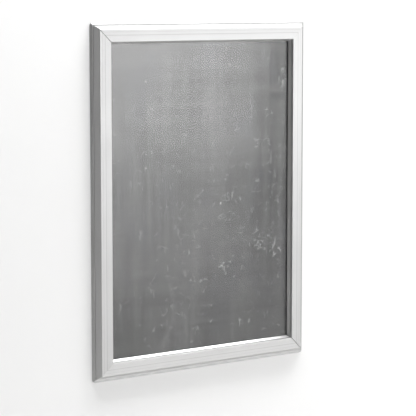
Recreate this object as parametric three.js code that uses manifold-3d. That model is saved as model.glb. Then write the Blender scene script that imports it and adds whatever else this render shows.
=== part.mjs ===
// Wall-mounted snap frame for an A3 sheet: four mitred base rails joined by corner keys,
// four hinged snap covers, leaf springs, a back panel and a clear cover sheet.
//
// Millimetres, +Z up. The wall is the plane y = 0 and the front faces -Y. The origin is the
// centre of the frame on the wall.
//
// A rail's cross-section is drawn in (u, v): u runs inward from the frame's outer edge and
// v runs off the wall. The third axis, "along", follows the frame round anticlockwise as
// seen from the front.

import * as THREE from 'three';
import { mergeVertices } from 'three/addons/utils/BufferGeometryUtils.js';
import Module from 'manifold-3d';

const wasm = await Module();
wasm.setup();

// Driving dimensions
const SHEET_WIDTH = 297; // A3
const SHEET_HEIGHT = 420;
const SHEET_INSET = 16; // from the frame's outer edge to the sheets' edge
const PANEL_THICKNESS = 0.8;
const CLEAR_THICKNESS = 0.5;
const GAP = 0.3; // between pieces that touch
const WALL = 1.2; // thickness of the extruded walls

const TIGHT_MITRE = 0.22; // cut back along the rail at a closed mitre
const OPEN_MITRE = 0.5; // the same at a mitre that has opened a little

// Base rail
const FOOT_EDGE = 0.5; // height of the square edge on the wall, below the sloping foot
const FOOT_CREST = [3.1, 2.3];
const FOOT_CORNER_RADIUS = 5; // the round outer corner of the base, seen from the front
const FLANGE_END = 26;
const CHANNEL = { left: 8.3, right: 14.7, top: 3.8, lipTop: 4.6, lipWidth: 1.5 };
const CHANNEL_WALL = 1.0;
const CHANNEL_MIDDLE = (CHANNEL.left + CHANNEL.right) / 2;
const GUIDE_GROOVE = { halfWidth: 0.35, depth: 0.3 };
const WALL_SCREW = { radius: 2.2, headRadius: 3.1 };
const CUT_MARGIN = 1; // how far a cutter runs past the surface that it cuts
const SKIN = 0.02; // the same for a countersink's wide end

// Snap cover
const BEVEL_FOOT = [4.0, 2.2];
const BEVEL_TOP = [8.8, 9.8];
const LIP_TOP = [24.5, 11.1];
const LIP_KNEE = [25.1, 7.4];
const LIP_TOE = [27.5, 3.9];
const LIP_FOOT = [27.5, 3.4];
const FACE_GROOVES = [12.1, 16.2];
const GROOVE = { halfWidth: 0.35, depth: 0.3 };
const COVER_RIBS = [{ u: 13.4, drop: 1.6 }, { u: 20.2, drop: 1.2 }];
const RIB_WIDTH = 1.0;
const SOFT = { bevelTop: 1.1, lipTop: 0.5, lipKnee: 0.6, lipToe: 0.3, crest: 0.5, footEdge: 0.25 };
const BEAD_RADIUS = 0.9;
const BEAD_TRIM = 2.2; // the bead stops this far short of the mitre, to turn freely
const SOCKET_RADIUS = BEAD_RADIUS + GAP;
const SOCKET_START = 25; // degrees, the two ends of the socket's arc
const SOCKET_END = -150;

// Small pieces
const KEY = { width: 5.8, thickness: 2.0, leg: 38, bottom: WALL + GAP };
const SCREW = { radius: 1.5, length: 3.0, hexRadius: 0.85, hexDepth: 1.4 };
const SCREW_PLACE = 26; // along each leg of a key, from the frame's corner
const SCREW_CENTRES = [[SCREW_PLACE, CHANNEL_MIDDLE], [CHANNEL_MIDDLE, SCREW_PLACE]];
const SPRING_LENGTH = 28;
const SPRING_THICKNESS = 0.4;
const SPRING_BENDS = [[11.2, 2.5], [10.5, 4.2], [9.7, 5.6], [9.0, 6.5]]; // from foot to free end
const SPRING_FOOT_END = 12.6;

const WIDTH = SHEET_WIDTH + 2 * SHEET_INSET;
const HEIGHT = SHEET_HEIGHT + 2 * SHEET_INSET;

const material = (color, roughness, metalness, extra = {}) => (
  new THREE.MeshStandardMaterial({ color, roughness, metalness, ...extra })
);
const MATERIALS = {
  base: () => material(0xb9bbba, 0.45, 0.9),
  cover: () => material(0xdfe0de, 0.35, 0.9),
  key: () => material(0x9a9c9e, 0.5, 0.9),
  screw: () => material(0x2c2d30, 0.4, 0.9),
  spring: () => material(0x6f7478, 0.3, 1.0),
  panel: () => material(0x8c9490, 0.45, 0.7),
  clear: () => material(0xe8f0ee, 0.15, 0.0, { transparent: true, opacity: 0.3 }),
};

// ---- Outline helpers, all in (u, v) ----

const toward = (from, to, distance) => {
  const length = Math.hypot(to[0] - from[0], to[1] - from[1]);
  return from.map((value, i) => value + ((to[i] - value) * distance) / length);
};

const onCircle = (centre, radius, degrees) => {
  const angle = THREE.MathUtils.degToRad(degrees);
  return [centre[0] + radius * Math.cos(angle), centre[1] + radius * Math.sin(angle)];
};

function arc(centre, radius, startDegrees, endDegrees, steps) {
  const angles = Array.from({ length: steps + 1 }, (_, i) => (
    startDegrees + ((endDegrees - startDegrees) * i) / steps
  ));
  return angles.map((degrees) => onCircle(centre, radius, degrees));
}

// The unit normal on the right-hand side of the line from a to b.
function rightNormal(a, b) {
  const length = Math.hypot(b[0] - a[0], b[1] - a[1]);
  return [(b[1] - a[1]) / length, -(b[0] - a[0]) / length];
}

// Where a wall's inner corner lies: the lines a-b and b-c, each moved right by a distance.
function insetCorner(a, b, c, distance) {
  const first = rightNormal(a, b);
  const second = rightNormal(b, c);
  const scale = distance / (1 + first[0] * second[0] + first[1] * second[1]);
  return [b[0] + (first[0] + second[0]) * scale, b[1] + (first[1] + second[1]) * scale];
}

// A corner rounded by a quadratic curve that leaves both edges at the given distance.
function softCorner(before, corner, after, distance, steps = 4) {
  const start = toward(corner, before, distance);
  const end = toward(corner, after, distance);
  const curve = new THREE.QuadraticBezierCurve(
    new THREE.Vector2(...start), new THREE.Vector2(...corner), new THREE.Vector2(...end),
  );
  return curve.getPoints(steps).map((point) => [point.x, point.y]);
}

// ---- Solid helpers ----

const MERGE_DISTANCE = 1e-4;

const shapeOf = (points) => new THREE.Shape(points.map(([x, y]) => new THREE.Vector2(x, y)));

function toSolid(geometry) {
  const bare = geometry.clone();
  bare.deleteAttribute('normal');
  bare.deleteAttribute('uv');
  const merged = mergeVertices(bare, MERGE_DISTANCE);
  return new wasm.Manifold(new wasm.Mesh({
    numProp: 3,
    vertProperties: new Float32Array(merged.attributes.position.array),
    triVerts: new Uint32Array(merged.index.array),
  }));
}

function toGeometry(solid) {
  const mesh = solid.getMesh();
  const geometry = new THREE.BufferGeometry();
  geometry.setAttribute('position', new THREE.BufferAttribute(mesh.vertProperties, 3));
  geometry.setIndex(new THREE.BufferAttribute(mesh.triVerts, 1));
  geometry.computeVertexNormals();
  return geometry;
}

function prism(points, depth, bottom = 0) {
  const geometry = new THREE.ExtrudeGeometry(shapeOf(points), { depth, bevelEnabled: false });
  return geometry.translate(0, 0, bottom);
}

// A section extruded along a rail, with both ends cut at 45 degrees towards the inside.
function mitred(points, length, cutBackLow, cutBackHigh) {
  const geometry = prism(points, length, -length / 2);
  const position = geometry.attributes.position;
  for (let i = 0; i < position.count; i += 1) {
    const u = position.getX(i);
    const low = position.getZ(i) < 0;
    position.setZ(i, low ? u + cutBackLow - length / 2 : length / 2 - u - cutBackHigh);
  }
  geometry.computeVertexNormals();
  return geometry;
}

// ---- Sections ----

const bevelNormal = rightNormal(BEVEL_FOOT, BEVEL_TOP);
const HINGE = toward(BEVEL_FOOT, BEVEL_TOP, BEAD_RADIUS)
  .map((value, i) => value + bevelNormal[i] * BEAD_RADIUS);

function faceWithGrooves() {
  const slope = (LIP_TOP[1] - BEVEL_TOP[1]) / (LIP_TOP[0] - BEVEL_TOP[0]);
  const face = (u, below) => [u, BEVEL_TOP[1] + (u - BEVEL_TOP[0]) * slope - below];
  return FACE_GROOVES.flatMap((u) => [
    face(u - GROOVE.halfWidth, 0),
    face(u, GROOVE.depth),
    face(u + GROOVE.halfWidth, 0),
  ]);
}

function coverSection() {
  const outerStart = HINGE.map((value, i) => value - bevelNormal[i] * BEAD_RADIUS);
  const innerStart = outerStart.map((value, i) => value + bevelNormal[i] * WALL);
  const innerBevelTop = insetCorner(BEVEL_FOOT, BEVEL_TOP, LIP_TOP, WALL);
  const innerLipTop = insetCorner(BEVEL_TOP, LIP_TOP, LIP_KNEE, WALL);
  const innerLipKnee = insetCorner(LIP_TOP, LIP_KNEE, LIP_TOE, WALL);
  const toeRun = (LIP_TOE[0] - LIP_KNEE[0]) / (LIP_KNEE[1] - LIP_TOE[1]);
  const innerLipFoot = [
    innerLipKnee[0] + (innerLipKnee[1] - LIP_FOOT[1]) * toeRun,
    LIP_FOOT[1],
  ];
  const slope = (innerLipTop[1] - innerBevelTop[1]) / (innerLipTop[0] - innerBevelTop[0]);
  const underside = (u) => innerBevelTop[1] + (u - innerBevelTop[0]) * slope;
  const rib = ({ u, drop }) => {
    const right = u + RIB_WIDTH / 2;
    const left = u - RIB_WIDTH / 2;
    const foot = underside(u) - drop;
    return [[right, underside(right)], [right, foot], [left, foot], [left, underside(left)]];
  };
  return [
    outerStart,
    ...softCorner(outerStart, BEVEL_TOP, LIP_TOP, SOFT.bevelTop),
    ...faceWithGrooves(),
    ...softCorner(BEVEL_TOP, LIP_TOP, LIP_KNEE, SOFT.lipTop),
    ...softCorner(LIP_TOP, LIP_KNEE, LIP_TOE, SOFT.lipKnee),
    ...softCorner(LIP_KNEE, LIP_TOE, LIP_FOOT, SOFT.lipToe, 2),
    LIP_FOOT,
    innerLipFoot,
    innerLipKnee,
    innerLipTop,
    ...[...COVER_RIBS].reverse().flatMap(rib),
    innerBevelTop,
    innerStart,
  ];
}

function baseSection() {
  const { left, right, top, lipTop, lipWidth } = CHANNEL;
  const flangeStart = right + CHANNEL_WALL;
  const socketEdge = onCircle(HINGE, SOCKET_RADIUS, SOCKET_START);
  const bevelRun = (BEVEL_TOP[0] - BEVEL_FOOT[0]) / (BEVEL_TOP[1] - BEVEL_FOOT[1]);
  const outerWallTop = socketEdge[0] + (lipTop - socketEdge[1]) * bevelRun;
  const lipInner = onCircle(HINGE, SOCKET_RADIUS, SOCKET_END);
  return [
    [0, 0],
    [FLANGE_END, 0],
    [FLANGE_END, WALL],
    [flangeStart, WALL],
    [flangeStart, lipTop],
    [right - lipWidth, lipTop],
    [right - lipWidth, top],
    [right, top],
    [right, WALL],
    [CHANNEL_MIDDLE + GUIDE_GROOVE.halfWidth, WALL],
    [CHANNEL_MIDDLE, WALL - GUIDE_GROOVE.depth],
    [CHANNEL_MIDDLE - GUIDE_GROOVE.halfWidth, WALL],
    [left, WALL],
    [left, top],
    [left + lipWidth, top],
    [left + lipWidth, lipTop],
    [outerWallTop, lipTop],
    ...arc(HINGE, SOCKET_RADIUS, SOCKET_START, SOCKET_END, 12),
    ...softCorner(lipInner, FOOT_CREST, [0, FOOT_EDGE], SOFT.crest, 3),
    ...softCorner(FOOT_CREST, [0, FOOT_EDGE], [0, 0], SOFT.footEdge, 2),
  ];
}

// A bent strip: a foot under the channel's inner lip, then a curve up through the channel's
// slot to a free end close to the inside of the cover's bevel.
function springSection() {
  const half = SPRING_THICKNESS / 2;
  const foot = WALL + GAP + half;
  const line = new THREE.CatmullRomCurve3([
    [CHANNEL.right - GAP, foot], [SPRING_FOOT_END, foot], ...SPRING_BENDS,
  ].map(([u, v]) => new THREE.Vector3(u, v, 0)));
  const steps = 14;
  const sides = [[], []];
  for (let i = 0; i <= steps; i += 1) {
    const point = line.getPointAt(i / steps);
    const tangent = line.getTangentAt(i / steps);
    sides[0].push([point.x - tangent.y * half, point.y + tangent.x * half]);
    sides[1].unshift([point.x + tangent.y * half, point.y - tangent.x * half]);
  }
  return [...sides[0], ...sides[1]];
}

// ---- Pieces, each in its rail's or corner's own axes ----

// What lies outside the round corner at one end of a base rail. end is 1 or -1.
function cornerCutter(length, end) {
  const radius = FOOT_CORNER_RADIUS;
  const outline = [
    ...arc([radius, -radius], radius, 90, 180, 8),
    [-CUT_MARGIN, -radius],
    [-CUT_MARGIN, CUT_MARGIN],
    [radius, CUT_MARGIN],
  ];
  const points = outline.map(([u, along]) => [u, end * (length / 2 + along)]);
  const height = FOOT_CREST[1] + CUT_MARGIN;
  return prism(points, height + CUT_MARGIN).rotateX(Math.PI / 2).translate(0, height, 0);
}

function baseRail(length) {
  const through = new THREE.CylinderGeometry(
    WALL_SCREW.radius, WALL_SCREW.radius, 4 * WALL, 32,
  ).translate(CHANNEL_MIDDLE, 0, 0);
  const headDepth = WALL_SCREW.headRadius - WALL_SCREW.radius;
  const countersink = new THREE.CylinderGeometry(
    WALL_SCREW.headRadius, WALL_SCREW.radius, headDepth, 32,
  ).translate(CHANNEL_MIDDLE, WALL - headDepth / 2 + SKIN, 0);
  const cutters = [through, countersink, cornerCutter(length, 1), cornerCutter(length, -1)];
  const rail = toSolid(mitred(baseSection(), length, TIGHT_MITRE, TIGHT_MITRE));
  return toGeometry(cutters.reduce((solid, cutter) => solid.subtract(toSolid(cutter)), rail));
}

function snapCover(length, cutBackLow, cutBackHigh) {
  const walls = mitred(coverSection(), length, cutBackLow, cutBackHigh);
  const bead = mitred(
    arc(HINGE, BEAD_RADIUS, 0, 345, 23), length, cutBackLow + BEAD_TRIM, cutBackHigh + BEAD_TRIM,
  );
  return toGeometry(toSolid(walls).add(toSolid(bead)));
}

function cornerKey() {
  const near = CHANNEL_MIDDLE - KEY.width / 2;
  const far = CHANNEL_MIDDLE + KEY.width / 2;
  const outline = [
    [near, near], [KEY.leg, near], [KEY.leg, far], [far, far], [far, KEY.leg], [near, KEY.leg],
  ];
  let key = toSolid(prism(outline, KEY.thickness, KEY.bottom));
  for (const [x, y] of SCREW_CENTRES) {
    const hole = new THREE.CylinderGeometry(
      SCREW.radius + GAP, SCREW.radius + GAP, 4 * KEY.thickness, 24,
    ).rotateX(Math.PI / 2).translate(x, y, KEY.bottom);
    key = key.subtract(toSolid(hole));
  }
  return toGeometry(key);
}

function grubScrew() {
  const body = new THREE.CylinderGeometry(SCREW.radius, SCREW.radius, SCREW.length, 24)
    .translate(0, SCREW.length / 2, 0);
  const hex = new THREE.CylinderGeometry(SCREW.hexRadius, SCREW.hexRadius, 2 * SCREW.hexDepth, 6)
    .translate(0, SCREW.length, 0);
  return toGeometry(toSolid(body).subtract(toSolid(hex)).rotate([90, 0, 0]));
}

// ---- Assembly ----

const group = new THREE.Group();

function addMesh(parent, name, geometry, kind, position = [0, 0, 0]) {
  const mesh = new THREE.Mesh(geometry, MATERIALS[kind]());
  mesh.name = name;
  mesh.position.set(...position);
  parent.add(mesh);
}

function axesGroup(origin, x, y, z) {
  const axes = new THREE.Group();
  const matrix = new THREE.Matrix4().makeBasis(x, y, z).setPosition(origin);
  axes.applyMatrix4(matrix);
  group.add(axes);
  return axes;
}

const OFF_WALL = new THREE.Vector3(0, -1, 0);
const RIGHT = new THREE.Vector3(1, 0, 0);
const UP = new THREE.Vector3(0, 0, 1);
const LEFT = RIGHT.clone().negate();
const DOWN = UP.clone().negate();

// Each side's low end is at the corner before it. "corner" names the corner at its high end.
const SIDES = [
  { name: 'left', corner: 'bottom_left', inward: RIGHT, length: HEIGHT, across: WIDTH,
    low: OPEN_MITRE, high: TIGHT_MITRE },
  { name: 'bottom', corner: 'bottom_right', inward: UP, length: WIDTH, across: HEIGHT,
    low: TIGHT_MITRE, high: OPEN_MITRE },
  { name: 'right', corner: 'top_right', inward: LEFT, length: HEIGHT, across: WIDTH,
    low: OPEN_MITRE, high: TIGHT_MITRE },
  { name: 'top', corner: 'top_left', inward: DOWN, length: WIDTH, across: HEIGHT,
    low: TIGHT_MITRE, high: OPEN_MITRE },
];

for (const side of SIDES) {
  const along = new THREE.Vector3().crossVectors(side.inward, OFF_WALL);
  const outerEdge = side.inward.clone().multiplyScalar(-side.across / 2);
  const rail = axesGroup(outerEdge, side.inward, OFF_WALL, along);
  addMesh(rail, `base_rail_${side.name}`, baseRail(side.length), 'base');
  addMesh(rail, `snap_cover_${side.name}`, snapCover(side.length, side.low, side.high), 'cover');
  for (const [number, place] of [[1, -side.length / 4], [2, side.length / 4]]) {
    const strip = prism(springSection(), SPRING_LENGTH, place - SPRING_LENGTH / 2);
    addMesh(rail, `leaf_spring_${side.name}_${number}`, strip, 'spring');
  }

  const cornerPoint = outerEdge.clone().addScaledVector(along, side.length / 2);
  const corner = axesGroup(cornerPoint, side.inward, along.clone().negate(), OFF_WALL);
  addMesh(corner, `corner_key_${side.corner}`, cornerKey(), 'key');
  for (const [i, [x, y]] of SCREW_CENTRES.entries()) {
    const name = `grub_screw_${side.corner}_${i + 1}`;
    addMesh(corner, name, grubScrew(), 'screw', [x, y, KEY.bottom]);
  }
}

const panelBack = WALL + GAP;
const clearBack = panelBack + PANEL_THICKNESS + GAP;
for (const [name, kind, thickness, back] of [
  ['back_panel', 'panel', PANEL_THICKNESS, panelBack],
  ['clear_sheet', 'clear', CLEAR_THICKNESS, clearBack],
]) {
  const geometry = new THREE.BoxGeometry(SHEET_WIDTH, thickness, SHEET_HEIGHT);
  addMesh(group, name, geometry, kind, [0, -(back + thickness / 2), 0]);
}

export default group;
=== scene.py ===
"""A wall-mounted A3 snap frame in satin anodised aluminium, empty, with a worn clear sheet.

Metres, +Z up. The wall is the plane y = 0 and the front faces -Y. A rail's cross-section is
drawn in (u, v), in millimetres: u runs inward from the frame's outer edge and v off the wall.
"""

import math

import bmesh
import bpy
from mathutils import Matrix, Vector, noise


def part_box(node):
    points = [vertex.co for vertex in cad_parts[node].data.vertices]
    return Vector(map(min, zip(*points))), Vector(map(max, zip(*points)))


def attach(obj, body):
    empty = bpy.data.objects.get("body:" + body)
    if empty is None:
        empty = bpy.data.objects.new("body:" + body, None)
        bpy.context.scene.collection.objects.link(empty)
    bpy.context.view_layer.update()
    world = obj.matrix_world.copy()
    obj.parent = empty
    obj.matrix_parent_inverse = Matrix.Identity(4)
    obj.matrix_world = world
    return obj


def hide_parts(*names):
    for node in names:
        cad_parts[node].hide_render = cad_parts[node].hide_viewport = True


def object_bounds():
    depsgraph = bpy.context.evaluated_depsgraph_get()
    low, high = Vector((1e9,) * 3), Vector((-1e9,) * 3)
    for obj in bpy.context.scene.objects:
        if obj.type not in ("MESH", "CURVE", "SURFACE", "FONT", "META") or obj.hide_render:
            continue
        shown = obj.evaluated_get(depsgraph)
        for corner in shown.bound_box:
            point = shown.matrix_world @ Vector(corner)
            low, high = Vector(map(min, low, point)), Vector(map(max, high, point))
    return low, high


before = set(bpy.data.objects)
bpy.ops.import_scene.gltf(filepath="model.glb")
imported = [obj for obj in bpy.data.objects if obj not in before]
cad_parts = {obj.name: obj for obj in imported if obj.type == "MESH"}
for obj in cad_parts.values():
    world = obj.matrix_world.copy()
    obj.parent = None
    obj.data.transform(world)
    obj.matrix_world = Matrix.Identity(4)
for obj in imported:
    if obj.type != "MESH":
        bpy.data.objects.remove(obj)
CAD_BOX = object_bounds()

MM = 0.001
GAP = 0.3  # mm, between pieces that touch
SIDES = ("left", "bottom", "right", "top")
CORNERS = {
    "left": "bottom_left",
    "bottom": "bottom_right",
    "right": "top_right",
    "top": "top_left",
}
INWARD = {
    "left": Vector((1, 0, 0)),
    "bottom": Vector((0, 0, 1)),
    "right": Vector((-1, 0, 0)),
    "top": Vector((0, 0, -1)),
}
OFF_WALL = Vector((0, -1, 0))


# ---------------------------------------------------------------- places from the frame


def frame_size():
    """Outer width and height of the base rails, in mm, with their closed mitres."""
    low_left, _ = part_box("base_rail_left")
    _, high_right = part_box("base_rail_right")
    low_bottom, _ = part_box("base_rail_bottom")
    _, high_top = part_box("base_rail_top")
    return (high_right.x - low_left.x) / MM, (high_top.z - low_bottom.z) / MM


WIDTH, HEIGHT = frame_size()


def rail_length(side):
    return HEIGHT if side in ("left", "right") else WIDTH


def rail_axes(side):
    """The matrix from a rail's (u, v, along) in mm to the row frame in metres."""
    inward = INWARD[side]
    along = inward.cross(OFF_WALL)
    across = WIDTH if side in ("left", "right") else HEIGHT
    origin = inward * (-across / 2 * MM)
    matrix = Matrix((inward, OFF_WALL, along)).transposed().to_4x4()
    return Matrix.Translation(origin) @ matrix @ Matrix.Scale(MM, 4)


def corner_axes(side):
    """The same at the corner of a rail's high end: x and y run in along the two rails."""
    inward = INWARD[side]
    along = inward.cross(OFF_WALL)
    across = WIDTH if side in ("left", "right") else HEIGHT
    origin = inward * (-across / 2 * MM) + along * (rail_length(side) / 2 * MM)
    matrix = Matrix((inward, -along, OFF_WALL)).transposed().to_4x4()
    return Matrix.Translation(origin) @ matrix @ Matrix.Scale(MM, 4)


# ---------------------------------------------------------------- section outlines, in mm


def toward(start, end, distance):
    """The point at a distance from start on the way to end."""
    run = Vector(end) - Vector(start)
    return Vector(start) + run.normalized() * distance


def right_normal(a, b):
    run = (Vector(b) - Vector(a)).normalized()
    return Vector((run.y, -run.x))


def inset_corner(a, b, c, distance):
    """Where a wall's inner corner lies: the lines a-b and b-c, each moved to the right."""
    first, second = right_normal(a, b), right_normal(b, c)
    return Vector(b) + (first + second) * (distance / (1 + first.dot(second)))


def soft_corner(before, corner, after, distance, steps=8):
    """A quadratic curve in place of a corner, from distance before it to distance after it."""
    start, end = toward(corner, before, distance), toward(corner, after, distance)
    middle = Vector(corner)
    points = []
    for i in range(steps + 1):
        t = i / steps
        points.append(start * (1 - t) ** 2 + middle * 2 * t * (1 - t) + end * t * t)
    return points


def arc(centre, radius, start, end, steps):
    """Points on a circle, from one angle in degrees to another."""
    points = []
    for i in range(steps + 1):
        angle = math.radians(start + (end - start) * i / steps)
        offset = Vector((math.cos(angle), math.sin(angle))) * radius
        points.append(Vector(centre) + offset)
    return points


WALL = 1.2
BEVEL_FOOT, BEVEL_TOP = Vector((4.0, 2.2)), Vector((8.8, 9.8))
LIP_TOP, LIP_KNEE = Vector((24.5, 11.1)), Vector((25.1, 7.4))
LIP_TOE, LIP_FOOT = Vector((27.5, 3.9)), Vector((27.5, 3.4))
BEAD_RADIUS = 0.9
BEVEL_NORMAL = right_normal(BEVEL_FOOT, BEVEL_TOP)
HINGE = toward(BEVEL_FOOT, BEVEL_TOP, BEAD_RADIUS) + BEVEL_NORMAL * BEAD_RADIUS
FACE_LINES = ((12.1, 0.35, 0.05), (16.2, 0.4, 0.07))  # inward place, half width and depth
LINE_PAINTED_SHADE = (0.14, 0.26)  # how much painted shade darkens each line
RIBS = ((20.2, 1.2), (13.4, 1.6))  # inward place and height, under the face of a cover
RIB_WIDTH = 1.0
SOFT = {  # how far from a corner its rounding starts
    "bevel_top": 0.7,
    "lip_top": 0.5,
    "lip_knee": 0.6,
    "lip_toe": 0.3,
    "rib": 0.3,
    "flange": 0.4,
    "channel": 0.3,
    "crest": 0.5,
    "foot_edge": 0.25,
}


def rounded_groove(u, half_width, depth, line):
    """A shallow round-bottomed groove across a face whose height at u is line(u)."""
    steps = 6
    points = []
    for i in range(steps + 1):
        t = -1 + 2 * i / steps
        place = u + t * half_width
        points.append(Vector((place, line(place) - depth * (1 - t * t))))
    return points


def cover_section():
    """A cover's outline, from the top of its bead over the face to the lip, and back inside."""
    outer_start = HINGE - BEVEL_NORMAL * BEAD_RADIUS
    inner_start = outer_start + BEVEL_NORMAL * WALL
    inner_bevel = inset_corner(BEVEL_FOOT, BEVEL_TOP, LIP_TOP, WALL)
    inner_lip = inset_corner(BEVEL_TOP, LIP_TOP, LIP_KNEE, WALL)
    inner_knee = inset_corner(LIP_TOP, LIP_KNEE, LIP_TOE, WALL)
    toe_run = (LIP_TOE.x - LIP_KNEE.x) / (LIP_KNEE.y - LIP_TOE.y)
    inner_foot = Vector((inner_knee.x + (inner_knee.y - LIP_FOOT.y) * toe_run, LIP_FOOT.y))
    slope = (LIP_TOP.y - BEVEL_TOP.y) / (LIP_TOP.x - BEVEL_TOP.x)

    def face(u):
        return BEVEL_TOP.y + (u - BEVEL_TOP.x) * slope

    def underside(u):
        return inner_bevel.y + (u - inner_bevel.x) * slope

    points = [outer_start]
    points += soft_corner(outer_start, BEVEL_TOP, LIP_TOP, SOFT["bevel_top"])
    for u, half_width, depth in FACE_LINES:
        points += rounded_groove(u, half_width, depth, face)
    points += soft_corner(BEVEL_TOP, LIP_TOP, LIP_KNEE, SOFT["lip_top"])
    points += soft_corner(LIP_TOP, LIP_KNEE, LIP_TOE, SOFT["lip_knee"], 5)
    points += soft_corner(LIP_KNEE, LIP_TOE, LIP_FOOT, SOFT["lip_toe"], 4)
    points += [LIP_FOOT, inner_foot, inner_knee, inner_lip]
    for u, drop in RIBS:
        right, left, foot = u + RIB_WIDTH / 2, u - RIB_WIDTH / 2, underside(u) - drop
        root_right, root_left = (right, underside(right)), (left, underside(left))
        points += [
            Vector(root_right),
            *soft_corner(root_right, (right, foot), (left, foot), SOFT["rib"], 3),
            *soft_corner((right, foot), (left, foot), root_left, SOFT["rib"], 3),
            Vector(root_left),
        ]
    points += [inner_bevel, inner_start]
    return points


def base_section():
    """A base rail's outline: the foot, the hinge socket, the key channel and the flange."""
    left, right, top, lip_top, lip_width = 8.3, 14.7, 3.8, 4.6, 1.5
    middle, flange_start, flange_end = (left + right) / 2, right + 1.0, 26.0
    foot_edge, crest = (0, 0.5), (3.1, 2.3)
    notch_half, notch_depth = 0.35, 0.3
    socket = BEAD_RADIUS + GAP / 2
    round_socket = arc(HINGE, socket, 25, -150, 28)
    bevel_run = (BEVEL_TOP.x - BEVEL_FOOT.x) / (BEVEL_TOP.y - BEVEL_FOOT.y)
    outer_wall_top = round_socket[0].x + (lip_top - round_socket[0].y) * bevel_run
    return [
        Vector((0, 0)),
        Vector((flange_end, 0)),
        *soft_corner((flange_end, 0), (flange_end, WALL), (right, WALL), SOFT["flange"], 3),
        Vector((flange_start, WALL)),
        *soft_corner(
            (flange_start, WALL), (flange_start, lip_top), (right, lip_top), SOFT["channel"], 3
        ),
        Vector((right - lip_width, lip_top)),
        Vector((right - lip_width, top)),
        Vector((right, top)),
        Vector((right, WALL)),
        Vector((middle + notch_half, WALL)),
        Vector((middle, WALL - notch_depth)),
        Vector((middle - notch_half, WALL)),
        Vector((left, WALL)),
        Vector((left, top)),
        Vector((left + lip_width, top)),
        Vector((left + lip_width, lip_top)),
        Vector((outer_wall_top, lip_top)),
        *round_socket,
        *soft_corner(round_socket[-1], crest, foot_edge, SOFT["crest"], 6),
        *soft_corner(crest, foot_edge, (0, 0), SOFT["foot_edge"], 4),
    ]


# ---------------------------------------------------------------- mesh helpers


def new_object(name, bm, body, node, material):
    """The bmesh as a piece that stands for a CAD node and moves with a body."""
    bmesh.ops.recalc_face_normals(bm, faces=bm.faces)
    mesh = bpy.data.meshes.new(name)
    bm.to_mesh(mesh)
    bm.free()
    piece = bpy.data.objects.new(name, mesh)
    bpy.context.scene.collection.objects.link(piece)
    mesh.materials.append(material)
    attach(piece, body)
    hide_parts(node)
    return piece


def apply_modifiers(piece):
    depsgraph = bpy.context.evaluated_depsgraph_get()
    mesh = bpy.data.meshes.new_from_object(piece.evaluated_get(depsgraph))
    piece.modifiers.clear()
    piece.data = mesh


def soften(piece, width, segments=2, angle=32):
    """Rounds every sharp edge by a real bevel, then shades the piece smooth by angle."""
    bevel = piece.modifiers.new("edges", "BEVEL")
    bevel.width = width
    bevel.segments = segments
    bevel.limit_method = "ANGLE"
    bevel.angle_limit = math.radians(angle)
    apply_modifiers(piece)
    smooth(piece, angle)


def smooth(piece, angle=32):
    """Shades smooth by angle. The broad faces keep their own flat direction."""
    piece.data.shade_smooth()
    piece.data.set_sharp_from_angle(angle=math.radians(angle))
    weighted = piece.modifiers.new("normals", "WEIGHTED_NORMAL")
    weighted.keep_sharp = True
    weighted.weight = 100
    apply_modifiers(piece)


def prism(points, low_z, high_z):
    """A closed prism. low_z and high_z give an end's height at a point of the outline."""
    bm = bmesh.new()
    low = [bm.verts.new((p[0], p[1], low_z(p))) for p in points]
    high = [bm.verts.new((p[0], p[1], high_z(p))) for p in points]
    count = len(points)
    bm.faces.new(reversed(low))
    bm.faces.new(high)
    for i in range(count):
        j = (i + 1) % count
        bm.faces.new((low[i], low[j], high[j], high[i]))
    return bm


def mitred(points, length, cut_back_low, cut_back_high):
    """A rail with ends at 45 degrees, each cut back a little from the true mitre."""
    return prism(
        points,
        lambda p: p[0] + cut_back_low - length / 2,
        lambda p: length / 2 - p[0] - cut_back_high,
    )


def boolean(bm, other, operation):
    """Two closed bmeshes made into one by Blender's exact boolean. Both are used up."""
    objects = []
    for source in (bm, other):
        bmesh.ops.recalc_face_normals(source, faces=source.faces)
        mesh = bpy.data.meshes.new("part")
        source.to_mesh(mesh)
        source.free()
        item = bpy.data.objects.new("part", mesh)
        bpy.context.scene.collection.objects.link(item)
        objects.append(item)
    modifier = objects[0].modifiers.new("cut", "BOOLEAN")
    modifier.operation = operation
    modifier.solver = "EXACT"
    modifier.object = objects[1]
    bpy.context.view_layer.update()
    apply_modifiers(objects[0])
    result = bmesh.new()
    result.from_mesh(objects[0].data)
    for item in objects:
        bpy.data.objects.remove(item)
    return result


def rod(radius, low, high, top_radius=None):
    """A round bar along z, or a cone if it has a top radius."""
    bm = bmesh.new()
    bmesh.ops.create_cone(
        bm,
        cap_ends=True,
        segments=48,
        radius1=radius,
        radius2=radius if top_radius is None else top_radius,
        depth=high - low,
    )
    bmesh.ops.translate(bm, verts=bm.verts, vec=(0, 0, (low + high) / 2))
    return bm


def loft(rows, segments):
    """A closed skin over rings about z. A row is a height and a radius for each angle."""
    bm = bmesh.new()
    rings = []
    for height, radius in rows:
        ring = []
        for i in range(segments):
            angle = math.tau * i / segments
            reach = radius(angle)
            ring.append(bm.verts.new((reach * math.cos(angle), reach * math.sin(angle), height)))
        rings.append(ring)
    for low, high in zip(rings, rings[1:]):
        for i in range(segments):
            j = (i + 1) % segments
            bm.faces.new((low[i], low[j], high[j], high[i]))
    bm.faces.new(reversed(rings[0]))
    bm.faces.new(rings[-1])
    return bm


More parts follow.
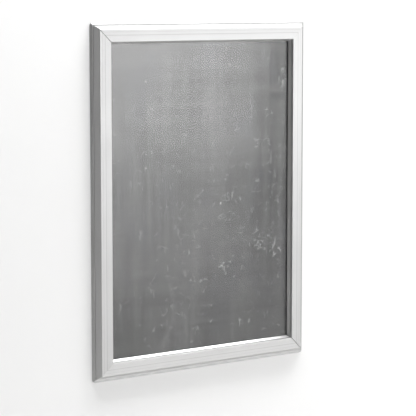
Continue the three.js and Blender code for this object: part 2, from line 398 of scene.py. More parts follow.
def thick_grid(front, back):
    """A closed plate between two grids of points, rows by columns."""
    bm = bmesh.new()
    skins = [[[bm.verts.new(p) for p in row] for row in grid] for grid in (front, back)]
    rows, columns = len(front), len(front[0])
    for skin, flip in zip(skins, (False, True)):
        for i in range(rows - 1):
            for j in range(columns - 1):
                face = [skin[i][j], skin[i][j + 1], skin[i + 1][j + 1], skin[i + 1][j]]
                bm.faces.new(reversed(face) if flip else face)
    rim = [(0, j) for j in range(columns)]
    rim += [(i, columns - 1) for i in range(1, rows)]
    rim += [(rows - 1, j) for j in range(columns - 2, -1, -1)]
    rim += [(i, 0) for i in range(rows - 2, 0, -1)]
    for (a, b), (c, d) in zip(rim, rim[1:] + rim[:1]):
        bm.faces.new((skins[0][a][b], skins[1][a][b], skins[1][c][d], skins[0][c][d]))
    return bm


def smooth_line(points, steps):
    """A Catmull-Rom curve through the points."""
    points = [Vector(p) for p in points]
    chain = [2 * points[0] - points[1], *points, 2 * points[-1] - points[-2]]
    line = []
    for a, b, c, d in zip(chain, chain[1:], chain[2:], chain[3:]):
        for i in range(steps):
            t = i / steps
            turn = (c - a) * t + (2 * a - 5 * b + 4 * c - d) * t**2
            line.append((2 * b + turn + (3 * b - a - 3 * c + d) * t**3) / 2)
    line.append(points[-1])
    return line


# ---------------------------------------------------------------- materials


class Nodes:
    """A small helper that adds nodes to a new material and links them."""

    def __init__(self, name):
        self.material = bpy.data.materials.new(name)
        self.material.use_nodes = True
        self.tree = self.material.node_tree
        self.tree.nodes.clear()
        self.output = self.tree.nodes.new("ShaderNodeOutputMaterial")

    def add(self, kind, **settings):
        node = self.tree.nodes.new("ShaderNode" + kind)
        for key, value in settings.items():
            setattr(node, key, value)
        return node

    def link(self, source, target):
        self.tree.links.new(source, target)

    def place(self, scale=(1, 1, 1), offset=(0, 0, 0), turn=(0, 0, 0)):
        """Object coordinates, scaled per axis, then turned and moved."""
        coordinates = self.add("TexCoord")
        return self.mapped(coordinates.outputs["Object"], scale, offset, turn)

    def mapped(self, vector, scale=(1, 1, 1), offset=(0, 0, 0), turn=(0, 0, 0)):
        mapping = self.add("Mapping")
        mapping.inputs["Scale"].default_value = scale
        mapping.inputs["Location"].default_value = offset
        mapping.inputs["Rotation"].default_value = turn
        self.link(vector, mapping.inputs["Vector"])
        return mapping.outputs["Vector"]

    def noise(self, vector, detail=4.0, roughness=0.55, distortion=0.0):
        node = self.add("TexNoise")
        node.inputs["Scale"].default_value = 1.0
        node.inputs["Detail"].default_value = detail
        node.inputs["Roughness"].default_value = roughness
        node.inputs["Distortion"].default_value = distortion
        self.link(vector, node.inputs["Vector"])
        return node.outputs["Fac"]

    def remap(self, value, from_low, from_high, to_low=0.0, to_high=1.0):
        """A value carried from one range to another, and kept inside it."""
        node = self.add("MapRange")
        node.inputs["From Min"].default_value = from_low
        node.inputs["From Max"].default_value = from_high
        node.inputs["To Min"].default_value = to_low
        node.inputs["To Max"].default_value = to_high
        self.link(value, node.inputs["Value"])
        return node.outputs["Result"]

    def math(self, operation, first, second=None):
        """A sum on links or numbers."""
        node = self.add("Math", operation=operation)
        for socket, value in zip(node.inputs, (first, second)):
            if value is None:
                continue
            if isinstance(value, (int, float)):
                socket.default_value = value
            else:
                self.link(value, socket)
        return node.outputs["Value"]

    def ramp(self, value, stops):
        """A colour ramp from (place, colour) stops."""
        node = self.add("ValToRGB")
        elements = node.color_ramp.elements
        while len(elements) > 1:
            elements.remove(elements[-1])
        elements[0].position = stops[0][0]
        elements[0].color = (*stops[0][1], 1)
        for place, colour in stops[1:]:
            elements.new(place).color = (*colour, 1)
        self.link(value, node.inputs["Fac"])
        return node.outputs["Color"]

    def mix(self, factor, first, second):
        """Two colours mixed."""
        node = self.add("Mix", data_type="RGBA")
        for socket, value in (
            (node.inputs["Factor"], factor),
            (node.inputs[6], first),
            (node.inputs[7], second),
        ):
            if isinstance(value, (int, float)):
                socket.default_value = value
            elif isinstance(value, tuple):
                socket.default_value = (*value, 1)
            else:
                self.link(value, socket)
        return node.outputs[2]

    def bump(self, height, strength, distance, normal=None):
        node = self.add("Bump")
        node.inputs["Strength"].default_value = strength
        node.inputs["Distance"].default_value = distance
        self.link(height, node.inputs["Height"])
        if normal is not None:
            self.link(normal, node.inputs["Normal"])
        return node.outputs["Normal"]

    def principled(self, **sockets):
        """A Principled shader on the output. Sockets are values or links, by name."""
        node = self.add("BsdfPrincipled")
        for name, value in sockets.items():
            socket = node.inputs[name.replace("_", " ")]
            if isinstance(value, (int, float)):
                socket.default_value = value
            elif isinstance(value, tuple):
                socket.default_value = (*value, 1)
            else:
                self.link(value, socket)
        self.link(node.outputs["BSDF"], self.output.inputs["Surface"])
        return node


def grey(value, tint=(1.0, 1.0, 1.0)):
    return tuple(value * t for t in tint)


def groove_painted_shade(n, along, colour):
    """Paints shade into the lines drawn along the faces of the covers: each groove gets a darker
    colour that stands in for its shade.
    """
    high = CAD_BOX[1]
    split = n.add("SeparateXYZ")
    n.link(n.place(), split.inputs[0])
    axis, edge = ("X", high[0]) if along == 2 else ("Z", high[2])
    inward = n.math("SUBTRACT", edge, n.math("ABSOLUTE", split.outputs[axis]))
    # painted shade: a dark grey mixed in across the width of each face line
    for (u, half_width, _), strength in zip(FACE_LINES, LINE_PAINTED_SHADE):
        away = n.math("ABSOLUTE", n.math("SUBTRACT", inward, u * MM))
        near = n.remap(away, 1.3 * half_width * MM, 0.6 * half_width * MM, 0.0, strength)
        colour = n.mix(near, colour, grey(0.1))
    return colour


def anodised(name, along, light, dark, roughness, grooved=False):
    """Satin anodised aluminium, with die lines along the extrusion, handling marks and dust.

    along is 0 for a rail that runs in X and 2 for one that runs in Z. Scales are per metre."""
    n = Nodes(name)
    fine, broad = [2600.0] * 3, [320.0] * 3
    fine[along], broad[along] = 9.0, 2.5
    lines = n.noise(n.place(fine), detail=3.0, roughness=0.6)
    bands = n.noise(n.place(broad), detail=2.0)
    cloud = n.noise(n.place((14, 14, 14)), detail=5.0, roughness=0.6)
    marks = n.noise(n.place((900, 900, 900)), detail=2.0)
    shade = n.math("ADD", n.math("MULTIPLY", bands, 0.5), n.math("MULTIPLY", cloud, 0.5))
    colour = n.ramp(n.remap(shade, 0.3, 0.7), [(0.0, dark), (1.0, light)])
    speck = n.remap(marks, 0.72, 0.76)
    colour = n.mix(n.math("MULTIPLY", speck, 0.35), colour, grey(0.45, (1, 0.99, 0.96)))
    # Grooved covers get painted shade in the lines of their faces.
    if grooved:
        colour = groove_painted_shade(n, along, colour)
    rough = n.remap(n.math("ADD", lines, cloud), 0.7, 1.3, roughness - 0.06, roughness + 0.07)
    normal = n.bump(lines, 0.12, 0.00001)
    normal = n.bump(marks, 0.05, 0.00001, normal)
    n.principled(
        Base_Color=colour, Metallic=0.82, Roughness=rough, Normal=normal, IOR=1.5
    )
    return n.material


def back_panel_metal():
    """Dull galvanised sheet: fine rolling lines both ways, cloudy patina and faint green and blue
    tints.
    """
    n = Nodes("panel_galvanised")
    upright = n.noise(n.place((85, 400, 2.5)), detail=3.0, roughness=0.75)
    level = n.noise(n.place((3, 400, 90)), detail=3.0, roughness=0.75)
    cloud = n.noise(n.place((9, 9, 6)), detail=4.0, roughness=0.55, distortion=0.6)
    tint = n.noise(n.place((16, 16, 11), offset=(3.1, 0, 7.7)), detail=2.0)
    brushed = n.math("ADD", n.math("MULTIPLY", upright, 0.55), n.math("MULTIPLY", level, 0.45))
    mixed = n.math("ADD", n.math("MULTIPLY", brushed, 0.6), n.math("MULTIPLY", cloud, 0.4))
    colour = n.ramp(
        n.remap(mixed, 0.39, 0.61),
        [(0.0, grey(0.068)), (0.5, grey(0.108)), (1.0, grey(0.155))],
    )
    green = n.mix(n.remap(tint, 0.5, 0.62, 0.0, 0.3), colour, grey(0.108, (0.99, 1.03, 0.99)))
    colour = n.mix(n.remap(tint, 0.48, 0.36, 0.0, 0.3), green, grey(0.108, (0.97, 0.99, 1.06)))
    rough = n.remap(n.math("ADD", brushed, cloud), 0.75, 1.25, 0.29, 0.37)
    normal = n.bump(brushed, 0.10, 0.00003)
    n.principled(Base_Color=colour, Metallic=0.9, Roughness=rough, Normal=normal)
    return n.material


# Rubbed patches on the clear sheet: the centre, as parts of its half width and half height,
# the half size in mm, and the strength.
SCUFFS = (
    ((0.86, 0.70), (9, 22), 1.0),
    ((0.50, 0.55), (12, 14), 0.8),
    ((0.72, 0.50), (14, 8), 0.6),
    ((0.62, 0.33), (20, 12), 0.7),
    ((0.30, 0.38), (10, 7), 0.5),
    ((0.58, 0.03), (10, 20), 0.6),
    ((0.32, 0.00), (15, 18), 0.6),
    ((0.30, -0.13), (26, 6), 1.0),
    ((0.64, -0.30), (26, 14), 0.9),
    ((0.25, -0.44), (14, 7), 0.8),
    ((0.78, -0.40), (16, 14), 0.9),
    ((0.45, -0.80), (10, 12), 0.8),
    ((-0.55, 0.28), (12, 10), 0.4),
    ((-0.05, -0.52), (16, 8), 0.5),
)
DUST_COLUMN = (0.88, 7)  # part of the half width, and half width in mm
# Scratches by direction: the turn, the noise's scale along and across them per metre, and the
# thickness as a part of the noise's height.
SCRATCHES = (
    (1.54, 20, 170, 0.035),
    (0.08, 45, 190, 0.04),
    (0.85, 40, 100, 0.022),
    (-0.5, 50, 90, 0.022),
)
WIPED_CENTRE, WIPED_SIZE = (-0.72, -0.66), (62, 74)  # parts of the half sheet, and mm
POSTER_TOP, POSTER_RIGHT, POSTER_EDGE = 180, 128, 1.5  # mm from the middle, and its softness


def distance_from(n, centre, half_size):
    """How far a point of the sheet is from a centre, as a part of the half size."""
    half_wide, half_high = (side * MM for side in half_size)
    vector = n.place(
        (1 / half_wide, 0, 1 / half_high), offset=(-centre[0] / half_wide, 0, -centre[1] / half_high)
    )
    length = n.add("VectorMath", operation="LENGTH")
    n.link(vector, length.inputs[0])
    return length.outputs["Value"]


def sheet_place(part_wide, part_high):
    """A place on the clear sheet, from parts of its half width and half height."""
    low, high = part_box("clear_sheet")
    return part_wide * (high.x - low.x) / 2, part_high * (high.z - low.z) / 2


def scuffed_places(n):
    """A mask that is high in the rubbed patches, whose edges are ragged."""
    ragged = n.remap(n.noise(n.place((70, 70, 70)), detail=3.0), 0.3, 0.7, -0.5, 0.5)
    mask = None
    for place, half_size, strength in SCUFFS:
        distance = n.math("ADD", distance_from(n, sheet_place(*place), half_size), ragged)
        near = n.remap(distance, 1.1, 0.5, 0.0, strength)
        mask = near if mask is None else n.math("MAXIMUM", mask, near)
    return mask


def hairlines(n, turn, along, across, thickness, mask):
    """Thin curved scratches, broken into strokes, rare where the mask is 0 and dense at 1.

    They follow the level lines of a noise, so a finer noise gives thinner and closer ones."""
    turned = n.place(turn=(0, turn, 0))
    field = n.noise(n.mapped(turned, (along, 1, across)), detail=1.5, roughness=0.4)
    away = n.math("ABSOLUTE", n.math("SUBTRACT", field, 0.5))
    line = n.remap(away, thickness, thickness * 0.3)
    strokes = n.noise(n.mapped(turned, (along * 2.6, 1, across * 0.7), (3.7, 0, 1.3)), detail=1.0)
    raised = n.math("ADD", strokes, n.math("MULTIPLY", mask, 0.14))
    return n.math("MULTIPLY", line, n.remap(raised, 0.645, 0.685))


def dust_specks(n, per_metre, share, mask=None):
    """Round specks of several sizes, in some of the cells of a Voronoi pattern."""
    turned = n.place((per_metre,) * 3, turn=(math.radians(90), 0, 0))
    cells = n.add("TexVoronoi", voronoi_dimensions="2D")
    cells.inputs["Scale"].default_value = 1.0
    n.link(turned, cells.inputs["Vector"])
    split = n.add("SeparateColor")
    n.link(cells.outputs["Color"], split.inputs["Color"])
    size = n.remap(split.outputs["Red"], 1 - share, 1.0, 0.0, 0.13)
    edge = n.math("SUBTRACT", size, cells.outputs["Distance"])
    speck = n.remap(edge, -0.01, 0.03)
    return speck if mask is None else n.math("MULTIPLY", speck, mask)


def wiped_arc(n, centre, half_size, thickness, mask):
    """A soft oval line, kept where the mask is high."""
    away = n.math("SUBTRACT", distance_from(n, centre, half_size), 1.0)
    band = n.remap(n.math("ABSOLUTE", away), thickness, 0.0)
    return n.math("MULTIPLY", band, mask)


def poster_ghost(n):
    """The faint film, with straight edges, that a smaller poster has left on the sheet."""
    split = n.add("SeparateXYZ")
    n.link(n.place(), split.inputs[0])
    top, right, soft = POSTER_TOP * MM, POSTER_RIGHT * MM, POSTER_EDGE * MM
    below = n.remap(split.outputs["Z"], top + soft, top)
    inside = n.remap(split.outputs["X"], right + 4 * soft, right)
    return n.math("MULTIPLY", n.math("MULTIPLY", below, inside), 0.016)


def scratches(n, places):
    everywhere = n.remap(n.noise(n.place((14, 14, 11)), detail=3.0), 0.45, 0.7, 0.0, 0.5)
    rubbed = n.math("MAXIMUM", places, everywhere)
    marks = None
    for turn, along, across, thickness in SCRATCHES:
        layer = hairlines(n, turn, along, across, thickness, rubbed)
        marks = layer if marks is None else n.math("MAXIMUM", marks, layer)
    return n.math("MULTIPLY", marks, n.remap(places, 0.0, 1.0, 0.10, 0.26))


def dust(n, places):
    """Specks in a column near the right edge and in the rubbed patches, and a few elsewhere."""
    column_place, column_half = DUST_COLUMN
    column_x, _ = sheet_place(column_place, 0)
    column = n.remap(distance_from(n, (column_x, 0), (column_half, 1e6)), 1.0, 0.6)
    dusty = n.math("MAXIMUM", column, n.math("MULTIPLY", places, 0.6))
    specks = n.math("MAXIMUM", dust_specks(n, 190, 0.5, dusty), dust_specks(n, 70, 0.05))
    return n.math("MULTIPLY", specks, 0.4)


def haze(n):
    """A thin cloudy film with the poster's outline in it, and a wiped arc."""
    patchy = n.remap(n.noise(n.place((12, 12, 9), offset=(0.4, 0, 0.9)), detail=2.0), 0.42, 0.58)
    wiped = wiped_arc(n, sheet_place(*WIPED_CENTRE), WIPED_SIZE, 0.10, patchy)
    cloud = n.remap(n.noise(n.place((7, 7, 5), offset=(0, 0, 2.2)), detail=5.0), 0.35, 0.7)
    film = n.math("MAXIMUM", n.remap(cloud, 0.0, 1.0, 0.002, 0.016), poster_ghost(n))
    return n.math("ADD", film, n.math("MULTIPLY", wiped, 0.05))


def clear_sheet_plastic():
    """Clear plastic with a soft gloss, dust specks, short scratches and a wiped haze."""
    n = Nodes("clear_plastic")
    places = scuffed_places(n)
    worn = n.math("MAXIMUM", scratches(n, places), dust(n, places))
    cover = n.math("ADD", worn, haze(n))
    clear = n.add("BsdfTransparent")
    clear.inputs["Color"].default_value = (0.955, 0.955, 0.955, 1)
    gloss = n.add("BsdfGlossy")
    gloss.inputs["Color"].default_value = (1, 1, 1, 1)
    gloss.inputs["Roughness"].default_value = 0.16
    fresnel = n.add("Fresnel")
    fresnel.inputs["IOR"].default_value = 1.33
    pane = n.add("MixShader")
    n.link(fresnel.outputs["Fac"], pane.inputs["Fac"])
    n.link(clear.outputs["BSDF"], pane.inputs[1])
    n.link(gloss.outputs["BSDF"], pane.inputs[2])
    dusty = n.add("BsdfDiffuse")
    dusty.inputs["Color"].default_value = (0.86, 0.86, 0.86, 1)
    whole = n.add("MixShader")
    n.link(cover, whole.inputs["Fac"])
    n.link(pane.outputs["Shader"], whole.inputs[1])
    n.link(dusty.outputs["BSDF"], whole.inputs[2])
    n.link(whole.outputs["Shader"], n.output.inputs["Surface"])
    return n.material


def plain_metal(name, light, dark, roughness, grain):
    """A small steel part: cloudy plating, fine grain and rubbed patches."""
    n = Nodes(name)
    cloud = n.noise(n.place((160, 160, 160)), detail=4.0, roughness=0.6)
    fine = n.noise(n.place((grain,) * 3), detail=3.0)
    colour = n.ramp(n.remap(cloud, 0.35, 0.65), [(0.0, dark), (1.0, light)])
    rough = n.remap(n.math("ADD", cloud, fine), 0.7, 1.3, roughness - 0.08, roughness + 0.1)
    normal = n.bump(fine, 0.18, 0.00003)
    n.principled(Base_Color=colour, Metallic=1.0, Roughness=rough, Normal=normal)
    return n.material


COVER_SHADES, COVER_ROUGHNESS = (grey(0.56), grey(0.53)), 0.38
BASE_SHADES, BASE_ROUGHNESS = (grey(0.49), grey(0.455)), 0.44
COVER_UPRIGHT = anodised(
    "cover_anodised_upright", 2, *COVER_SHADES, COVER_ROUGHNESS, grooved=True
)
COVER_LEVEL = anodised("cover_anodised_level", 0, *COVER_SHADES, COVER_ROUGHNESS, grooved=True)
BASE_UPRIGHT = anodised("base_anodised_upright", 2, *BASE_SHADES, BASE_ROUGHNESS)
BASE_LEVEL = anodised("base_anodised_level", 0, *BASE_SHADES, BASE_ROUGHNESS)
PANEL = back_panel_metal()
CLEAR = clear_sheet_plastic()
KEY_STEEL = plain_metal("key_zinc", grey(0.62, (0.98, 1.0, 1.03)), grey(0.48), 0.42, 900)
SCREW_STEEL = plain_metal("screw_black_oxide", grey(0.09), grey(0.04), 0.42, 1800)
SPRING_STEEL = plain_metal("spring_steel", grey(0.52), grey(0.40), 0.30, 1400)


def by_side(side, upright, level):
    return upright if side in ("left", "right") else level


# ---------------------------------------------------------------- pieces

TIGHT_MITRE, OPEN_MITRE = 0.08, 0.5
MITRES = {  # how far each end of a cover is cut back, low end first
    "left": (OPEN_MITRE, TIGHT_MITRE),
    "bottom": (TIGHT_MITRE, OPEN_MITRE),
    "right": (OPEN_MITRE, TIGHT_MITRE),
    "top": (TIGHT_MITRE, OPEN_MITRE),
}
BEAD_TRIM = 2.2  # the bead stops this far short of the mitre, to turn freely
CHANNEL_MIDDLE = 11.5
BASE_CORNER_RADIUS = 5.0
HOLE_RADIUS, HEAD_RADIUS, HEAD_DEPTH = 2.2, 3.12, 0.9
CUT_MARGIN, SKIN = 1.0, 0.02  # how far cutters reach past what they cut


def snap_cover(side):
    """A mitred cover with the bead that it turns on."""
    length = rail_length(side)
    low, high = MITRES[side]
    walls = mitred(cover_section(), length, low, high)
    bead = mitred(
        arc(HINGE, BEAD_RADIUS, 0, 352.5, 47), length, low + BEAD_TRIM, high + BEAD_TRIM
    )
    bm = boolean(walls, bead, "UNION")
    bmesh.ops.transform(bm, matrix=rail_axes(side), verts=bm.verts)
    node = f"snap_cover_{side}"
    piece = new_object(
        f"cover_{side}",
        bm,
        f"cover_{side}",
        node,
        by_side(side, COVER_UPRIGHT, COVER_LEVEL),
    )
    soften(piece, 0.08 * MM)


def corner_cutter(length, end):
    """What lies outside the round corner at one end of a base rail. end is 1 or -1."""
    radius, top = BASE_CORNER_RADIUS, 3.3
    outline = arc((radius, -radius), radius, 90, 180, 20)
    outline += [(-CUT_MARGIN, -radius), (-CUT_MARGIN, CUT_MARGIN), (radius, CUT_MARGIN)]
    points = [(u, end * (length / 2 + along)) for u, along in outline]
    bm = prism(points, lambda p: -CUT_MARGIN, lambda p: top)
    swap = Matrix(((1, 0, 0, 0), (0, 0, 1, 0), (0, 1, 0, 0), (0, 0, 0, 1)))
    bmesh.ops.transform(bm, matrix=swap, verts=bm.verts)
    return bm


def base_rail(side):
    """A base rail with a countersunk hole in its channel and round outer corners."""
    length = rail_length(side)
    bm = mitred(base_section(), length, TIGHT_MITRE, TIGHT_MITRE)
    hole = rod(HOLE_RADIUS, -3, 3)
    head = rod(HOLE_RADIUS, WALL - HEAD_DEPTH, WALL + SKIN, top_radius=HEAD_RADIUS)
    turn = Matrix.Rotation(math.radians(-90), 4, "X")
    for cutter in (hole, head):
        bmesh.ops.transform(cutter, matrix=turn, verts=cutter.verts)
        bmesh.ops.translate(cutter, verts=cutter.verts, vec=(CHANNEL_MIDDLE, 0, 0))
    for cutter in (hole, head, corner_cutter(length, 1), corner_cutter(length, -1)):
        bm = boolean(bm, cutter, "DIFFERENCE")
    bmesh.ops.transform(bm, matrix=rail_axes(side), verts=bm.verts)
    piece = new_object(
        f"base_{side}",
        bm,
        "frame",
        f"base_rail_{side}",
        by_side(side, BASE_UPRIGHT, BASE_LEVEL),
    )
    soften(piece, 0.06 * MM)


KEY_WIDTH, KEY_THICKNESS, KEY_LEG, KEY_BOTTOM = 5.8, 2.0, 38.0, WALL + GAP
SCREW_RADIUS, SCREW_LENGTH, SCREW_PLACE = 1.5, 3.0, 26.0
SCREW_CENTRES = ((SCREW_PLACE, CHANNEL_MIDDLE), (CHANNEL_MIDDLE, SCREW_PLACE))
THREAD_PITCH, THREAD_DEPTH = 0.5, 0.28
TIP_RADIUS, TOP_CHAMFER, TAPPED_GAP = 1.0, 0.22, 0.12
HEX_RADIUS, HEX_DEPTH, HEX_CHAMFER = 0.85, 1.4, 0.12
SPRING_LENGTH, SPRING_THICKNESS = 28.0, 0.4
SPRING_LINE = ((14.4, 1.7), (12.6, 1.7), (11.2, 2.5), (10.5, 4.2), (9.7, 5.6), (9.0, 6.5))


def corner_key(side):
    """A stamped L with round corners, and a tapped hole in each leg."""
    near, far = CHANNEL_MIDDLE - KEY_WIDTH / 2, CHANNEL_MIDDLE + KEY_WIDTH / 2
    corners = (  # place, rounding and its steps
        ((near, near), 2.6, 8),
        ((KEY_LEG, near), 0.9, 4),
        ((KEY_LEG, far), 0.9, 4),
        ((far, far), 1.2, 6),
        ((far, KEY_LEG), 0.9, 4),
        ((near, KEY_LEG), 0.9, 4),
    )
    outline = []
    for i, (corner, distance, steps) in enumerate(corners):
        before, after = corners[i - 1][0], corners[(i + 1) % len(corners)][0]
        outline += soft_corner(before, corner, after, distance, steps)
    bm = prism(outline, lambda p: KEY_BOTTOM, lambda p: KEY_BOTTOM + KEY_THICKNESS)
    for x, y in SCREW_CENTRES:
        hole = rod(SCREW_RADIUS + TAPPED_GAP, 0, 3 * KEY_THICKNESS)
        bmesh.ops.translate(hole, verts=hole.verts, vec=(x, y, 0))
        bm = boolean(bm, hole, "DIFFERENCE")
    bmesh.ops.transform(bm, matrix=corner_axes(side), verts=bm.verts)
    corner = CORNERS[side]
    piece = new_object(
        f"key_{corner}", bm, "frame", f"corner_key_{corner}", KEY_STEEL
    )
    soften(piece, 0.22 * MM, segments=3)


def thread_radius(height):
    """The radius of a threaded rod at a height, for each angle, with chamfered ends."""
    tip = TIP_RADIUS + height
    top = SCREW_RADIUS + 0.5 * (SCREW_LENGTH - height) - TOP_CHAMFER

    def radius(angle):
        phase = (height / THREAD_PITCH - angle / math.tau) % 1
        return min(SCREW_RADIUS - THREAD_DEPTH * abs(2 * phase - 1), tip, top)

    return radius


def hexagon(circumradius):
    """The radius of a hexagon for each angle."""
    flat = circumradius * math.cos(math.radians(30))

    def radius(angle):
        return flat / math.cos((angle + math.pi / 6) % (math.pi / 3) - math.pi / 6)

    return radius


def grub_screw_mesh():
    """A threaded rod with a hexagon socket that ends in a small flat."""
    rows_per_turn, socket_floor = 7, SCREW_LENGTH - HEX_DEPTH
    steps = round(SCREW_LENGTH / THREAD_PITCH) * rows_per_turn
    rows = [
        (SCREW_LENGTH * i / steps, thread_radius(SCREW_LENGTH * i / steps))
        for i in range(steps + 1)
    ]
    rows += [
        (SCREW_LENGTH, hexagon(HEX_RADIUS + HEX_CHAMFER)),
        (SCREW_LENGTH - HEX_CHAMFER, hexagon(HEX_RADIUS)),
        (socket_floor, hexagon(HEX_RADIUS)),
        (socket_floor - 0.25, lambda angle: 0.2),
    ]
    return loft(rows, 36)


def grub_screw(side, number, place):
    """A screw in a corner key, at a turn of its own."""
    bm = grub_screw_mesh()
    turn = Matrix.Rotation(math.radians(23 * number + 41 * SIDES.index(side)), 4, "Z")
    matrix = corner_axes(side) @ Matrix.Translation((*place, KEY_BOTTOM)) @ turn
    bmesh.ops.transform(bm, matrix=matrix, verts=bm.verts)
    corner = CORNERS[side]
    piece = new_object(
        f"screw_{corner}_{number}",
        bm,
        "frame",
        f"grub_screw_{corner}_{number}",
        SCREW_STEEL,
    )
    smooth(piece, 40)


def leaf_spring(side, number, place):
    """A bent strip with round corners. Its foot lies in the channel, its free end stands up."""
    line = smooth_line(SPRING_LINE, 7)
    lengths = [0.0]
    for a, b in zip(line, line[1:]):
        lengths.append(lengths[-1] + (b - a).length)
    columns, half, corner = 16, SPRING_THICKNESS / 2, 2.0
    front, back = [], []
    for i, point in enumerate(line):
        run = (line[min(i + 1, len(line) - 1)] - line[max(i - 1, 0)]).normalized()
        normal = Vector((-run.y, run.x))
        from_end = min(lengths[i], lengths[-1] - lengths[i], corner)
        cut = corner - math.sqrt(corner**2 - (corner - from_end) ** 2)
        reach = SPRING_LENGTH / 2 - cut
        across = [place + reach * (2 * j / columns - 1) for j in range(columns + 1)]
        front.append([(*(point + normal * half), t) for t in across])
        back.append([(*(point - normal * half), t) for t in across])
    bm = thick_grid(front, back)
    bmesh.ops.transform(bm, matrix=rail_axes(side), verts=bm.verts)
    piece = new_object(
        f"spring_{side}_{number}",
        bm,
        "frame",
        f"leaf_spring_{side}_{number}",
        SPRING_STEEL,
    )
    soften(piece, 0.09 * MM, angle=50)


def grid_lines(low, high, radius, count):
    """Lines across a rectangle, closer together inside its rounded corners."""
    near = [radius * (1 - k / 4) for k in range(4, 0, -1)]
    inner = [low + radius + (high - low - 2 * radius) * i / count for i in range(count + 1)]
    return [low + d for d in near] + inner + [high - d for d in reversed(near)]


def round_corner(x, z, low, high, radius):
    """Moves a point of a corner's square into the corner's quarter circle."""
    middle_x = min(max(x, low.x + radius), high.x - radius)
    middle_z = min(max(z, low.z + radius), high.z - radius)
    a, b = (x - middle_x) / radius, (z - middle_z) / radius
    return (
        middle_x + radius * a * math.sqrt(1 - b * b / 2),
        middle_z + radius * b * math.sqrt(1 - a * a / 2),
    )


def plate(name, node, material, corner_radius, rise):
    """A thin sheet with round corners in the space of a CAD node. rise(x, z) lifts a point."""
    low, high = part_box(node)
    radius = corner_radius * MM
    rows, columns = 44, 32
    front, back = [], []
    for z in grid_lines(low.z, high.z, radius, rows):
        front_row, back_row = [], []
        for x in grid_lines(low.x, high.x, radius, columns):
            place_x, place_z = round_corner(x, z, low, high, radius)
            lift = rise(place_x, place_z)
            front_row.append((place_x, low.y - lift, place_z))
            back_row.append((place_x, high.y - lift, place_z))
        front.append(front_row)
        back.append(back_row)
    piece = new_object(name, thick_grid(front, back), "frame", node, material)
    soften(piece, 0.08 * MM, angle=50)


def from_edge(node, x, z):
    """0 near the edge of a sheet, where the covers hold it, and 1 well inside."""
    low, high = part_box(node)
    distance = min(x - low.x, high.x - x, z - low.z, high.z - z) / MM
    held, free = 13.0, 70.0
    t = min(max((distance - held) / (free - held), 0), 1)
    return t * t * (3 - 2 * t)


def panel_rise(x, z):
    """The waves of a thin metal sheet."""
    wave = noise.noise(Vector((x * 9, 0.5, z * 6)))
    return 0.10 * MM * wave * from_edge("back_panel", x, z)


def sheet_rise(x, z):
    """The clear sheet bows off the panel a little, with a few soft ripples."""
    ripple = 0.12 * noise.noise(Vector((x * 11, 3.5, z * 7)))
    return (0.35 + ripple) * MM * from_edge("clear_sheet", x, z)


for side in SIDES:
    snap_cover(side)
    base_rail(side)
    corner_key(side)
    for number, place in enumerate(SCREW_CENTRES, start=1):
        grub_screw(side, number, place)
    for number, part in enumerate((-0.25, 0.25), start=1):
        leaf_spring(side, number, part * rail_length(side))

SHEET_CORNER_RADIUS = 1.5
plate("panel", "back_panel", PANEL, SHEET_CORNER_RADIUS, panel_rise)
plate("clear_cover", "clear_sheet", CLEAR, SHEET_CORNER_RADIUS, sheet_rise)


# ---------------------------------------------------------------- stage, lights and camera


def stage_plane(name, corners, material):
    mesh = bpy.data.meshes.new(name)
    mesh.from_pydata(corners, [], [(0, 1, 2, 3)])
    item = bpy.data.objects.new(name, mesh)
    mesh.materials.append(material)
    bpy.context.scene.collection.objects.link(item)


def painted(name, colour, see_through_back=False):
    """Matt paint. It can be clear from behind and to shadows, so a wall hides nothing."""
    n = Nodes(name)
    fine = n.noise(n.place((260, 260, 260)), detail=3.0)
    shader = n.principled(
        Base_Color=colour, Roughness=0.85, Normal=n.bump(fine, 0.05, 0.0004)
    )
    if see_through_back:
        geometry = n.add("NewGeometry")
        path = n.add("LightPath")
        hidden = n.math(
            "MAXIMUM", geometry.outputs["Backfacing"], path.outputs["Is Shadow Ray"]
        )
        clear = n.add("BsdfTransparent")
        whole = n.add("MixShader")
        n.link(hidden, whole.inputs["Fac"])
        n.link(shader.outputs["BSDF"], whole.inputs[1])
        n.link(clear.outputs["BSDF"], whole.inputs[2])
        n.link(whole.outputs["Shader"], n.output.inputs["Surface"])
    return n.material


WALL_PLANE, WALL_HALF, WALL_TOP = 0.0004, 2.6, 2.2
FLOOR, FLOOR_HALF = -0.75, 4
stage_plane(
    "wall",
    [
        (-WALL_HALF, WALL_PLANE, FLOOR),
        (WALL_HALF, WALL_PLANE, FLOOR),
        (WALL_HALF, WALL_PLANE, WALL_TOP),
        (-WALL_HALF, WALL_PLANE, WALL_TOP),
    ],
    painted("wall_paint", grey(0.90), see_through_back=True),
)
stage_plane(
    "floor",
    [
        (-FLOOR_HALF, -FLOOR_HALF, FLOOR),
        (FLOOR_HALF, -FLOOR_HALF, FLOOR),
        (FLOOR_HALF, FLOOR_HALF, FLOOR),
        (-FLOOR_HALF, FLOOR_HALF, FLOOR),
    ],
    painted("floor_paint", grey(0.80, (1.0, 0.995, 0.985))),
)


def area_light(name, place, size, power, spread=180):
    """A rectangular light that points at the middle of the frame."""
    light = bpy.data.lights.new(name, "AREA")
    light.spread = math.radians(spread)
    light.shape = "RECTANGLE"
    light.size, light.size_y = size
    light.energy = power
    item = bpy.data.objects.new(name, light)
    item.location = place
    item.rotation_euler = (-Vector(place)).to_track_quat("-Z", "Y").to_euler()
    bpy.context.scene.collection.objects.link(item)


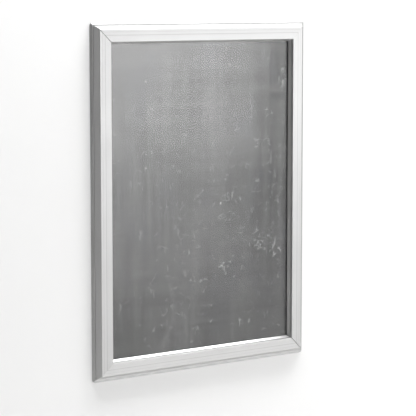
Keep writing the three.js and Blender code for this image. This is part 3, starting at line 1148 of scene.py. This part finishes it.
area_light("key", (1.2, -0.40, 1.9), (0.8, 0.8), 35.4)
area_light("top", (0.0, -0.35, 1.6), (1.4, 0.4), 26.9)
area_light("top_soft", (0.1, -0.8, 2.2), (1.6, 1.0), 11.6)
area_light("right", (2.4, -1.6, 0.6), (1.4, 2.0), 21.7)
area_light("card", (1.3, -2.6, 0.3), (1.1, 0.4), 6.8)
area_light("card_middle", (1.3, -2.6, 0.0), (1.1, 0.4), 5.1)
area_light("card_low", (1.3, -2.6, -0.35), (1.1, 0.6), 4.1)
area_light("behind", (-0.6, 1.3, 0.5), (1.0, 1.0), 3.5, spread=60)


def studio_world(seen, light):
    """A pale background for the camera, and its own even light on the object."""
    world = bpy.data.worlds.new("studio")
    world.use_nodes = True
    tree = world.node_tree
    background = tree.nodes["Background"]
    background.inputs["Color"].default_value = (1, 1, 1, 1)
    path = tree.nodes.new("ShaderNodeLightPath")
    strength = tree.nodes.new("ShaderNodeMapRange")
    strength.inputs["To Min"].default_value = light
    strength.inputs["To Max"].default_value = seen
    tree.links.new(path.outputs["Is Camera Ray"], strength.inputs["Value"])
    tree.links.new(strength.outputs["Result"], background.inputs["Strength"])
    bpy.context.scene.world = world


studio_world(seen=0.9, light=0.09)
bpy.context.scene.view_settings.view_transform = "Standard"

CAMERA_PLACE = Vector((-1.1707, -1.7578, 0.2563))
CAMERA_TURN = math.radians(33.91)  # to the right of straight at the wall
CAMERA_TILT = math.radians(6.19)  # down
FOCAL_LENGTH, SENSOR_WIDTH = 141.9231, 36.0  # mm
CAMERA_SHIFT = -0.079

camera_data = bpy.data.cameras.new("camera")
camera_data.sensor_width = SENSOR_WIDTH
camera_data.lens = FOCAL_LENGTH
camera_data.shift_y = CAMERA_SHIFT
camera = bpy.data.objects.new("camera", camera_data)
camera.location = CAMERA_PLACE
camera.rotation_euler = (math.radians(90) - CAMERA_TILT, 0, -CAMERA_TURN)
bpy.context.scene.collection.objects.link(camera)
bpy.context.scene.camera = camera

bpy.context.view_layer.update()
